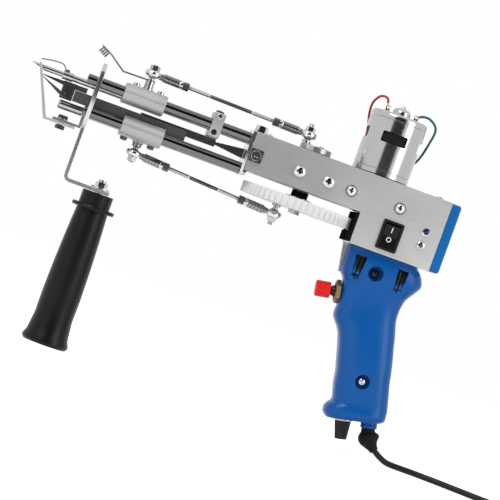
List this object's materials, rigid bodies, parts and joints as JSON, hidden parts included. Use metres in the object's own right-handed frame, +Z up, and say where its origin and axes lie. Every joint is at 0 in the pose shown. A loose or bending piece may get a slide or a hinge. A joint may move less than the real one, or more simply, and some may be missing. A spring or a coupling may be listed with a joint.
{
  "type": "handheld tufting machine",
  "caption": "Electric pistol-grip tufting tool with a needle carriage and scissors on guide rails, crank drive, side handle and cord.",
  "frame": {"origin": "middle of the tool's base, under the box round it without its cord", "axes": "+X from the needle to the rear cap, +Y to the side without switches, +Z up along the front handle"},
  "size_m": [0.516, 0.0883, 0.2485],
  "materials": {
    "steel": "brushed satin sheet",
    "chrome": "bright plated",
    "dark_steel": "dark oxide steel",
    "black_metal": "black coated",
    "cast": "bead blasted",
    "blue": "moulded, semi gloss",
    "black": "moulded",
    "rubber": "moulded, satin",
    "nylon": "white nylon",
    "copper": "wound armature",
    "bronze": "toned nut",
    "red": "moulded",
    "green": "cable sleeve",
    "lens": "clear dark lens"
  },
  "bodies": {
    "frame": {"side_plate_near": "steel", "side_plate_far": "steel", "top_plate": "steel", "belly_plate": "steel", "front_guard": "black_metal", "rear_cap": "blue", "rear_plate": "steel", "front_plate": "steel", "upper_rail_near": "chrome", "upper_rail_far": "chrome", "lower_rail_near": "chrome", "lower_rail_far": "chrome", "clamp_block": "steel", "guide_bar": "dark_steel", "bearing_block": "dark_steel", "motor_can": "chrome", "red_wire": "red", "green_wire": "green", "grip_tang": "steel", "grip_near": "blue", "grip_far": "blue", "trigger_switch": "rubber", "trigger_nut": "bronze", "rocker_bezel": "black", "speed_control": "steel", "cord_collar": "blue", "strain_relief": "rubber", "front_handle": "rubber", "handle_bolt": "chrome", "foot_bracket": "steel", "front_post": "dark_steel", "foot_bolt": "chrome", "indicator_lamp": "lens", "side_bolt_1": "chrome", "side_bolt_2": "chrome", "side_bolt_3": "chrome", "side_bolt_4": "chrome", "front_side_bolt": "dark_steel", "cord": "rubber", "cord_coil": "rubber", "cord_plug": "black"},
    "crank": {"crankshaft": "dark_steel", "crank_gear": "nylon"},
    "motor": {"motor_rotor": "copper"},
    "needle_carriage": {"upper_slider": "cast", "needle_bar": "chrome", "needle": "chrome", "yarn_guide": "chrome", "upper_stud": "chrome"},
    "knife_carriage": {"lower_slider": "cast", "knife_bar": "dark_steel", "scissors_block": "black_metal", "lower_stud": "chrome"},
    "scissors": {"lower_blade": "chrome"},
    "upper_link": {"upper_rod": "chrome"},
    "lower_link": {"lower_rod": "chrome"},
    "trigger": {"trigger_button": "red"},
    "switch": {"rocker": "black"},
    "speed_dial": {"speed_knob": "black"},
    "foot": {"presser_foot": "chrome"}
  },
  "joints": [
    {"name": "crank_spin", "type": "hinge", "parent": "frame", "child": "crank", "pos_m": [0.0495, 0, 0.1992], "axis": [0, 0, 1], "range_deg": [0, 180]},
    {"name": "motor_spin", "type": "hinge", "parent": "frame", "child": "motor", "pos_m": [0.099, 0, 0.2405], "axis": [0, 0, 1], "range_deg": [-810, 0]},
    {"name": "needle_slide", "type": "slide", "parent": "frame", "child": "needle_carriage", "axis": [1, 0, 0], "range_m": [0, 0.0172]},
    {"name": "knife_slide", "type": "slide", "parent": "frame", "child": "knife_carriage", "axis": [1, 0, 0], "range_m": [0, 0.0264]},
    {"name": "scissors_pivot", "type": "hinge", "parent": "knife_carriage", "child": "scissors", "pos_m": [-0.1341, -0.0055, 0.17205], "axis": [0, 1, 0], "range_deg": [-12, 0]},
    {"name": "upper_rod_swing", "type": "hinge", "parent": "needle_carriage", "child": "upper_link", "pos_m": [-0.0786, 0, 0.20785], "axis": [0, 0, 1], "range_deg": [-4.5, 4.5]},
    {"name": "lower_rod_swing", "type": "hinge", "parent": "knife_carriage", "child": "lower_link", "pos_m": [-0.0724, 0, 0.15005], "axis": [0, 0, 1], "range_deg": [-7, 7]},
    {"name": "trigger_press", "type": "slide", "parent": "frame", "child": "trigger", "axis": [0.9848, 0, 0.1736], "range_m": [0, 0.003], "stiffness_N_per_m": 400, "springref_m": -0.0005},
    {"name": "rocker_tilt", "type": "hinge", "parent": "frame", "child": "switch", "pos_m": [0.118, -0.0205, 0.1567], "axis": [1, 0, 0], "range_deg": [-14, 0]},
    {"name": "speed_turn", "type": "hinge", "parent": "frame", "child": "speed_dial", "pos_m": [0.1345, 0, 0.0223], "axis": [0.2071, 0, -0.9783], "range_deg": [0, 300]},
    {"name": "foot_adjust", "type": "slide", "parent": "frame", "child": "foot", "axis": [1, 0, 0], "range_m": [-0.0018, 0.0018]}
  ],
  "couplings": [
    {"joint": "motor_spin", "follows": "crank_spin", "ratio": -4.5},
    {"joint": "needle_slide", "follows": "crank_spin", "m_per_rad": 0.0054749},
    {"joint": "knife_slide", "follows": "crank_spin", "m_per_rad": 0.0084034},
    {"joint": "scissors_pivot", "follows": "crank_spin", "ratio": -0.066666}
  ]
}
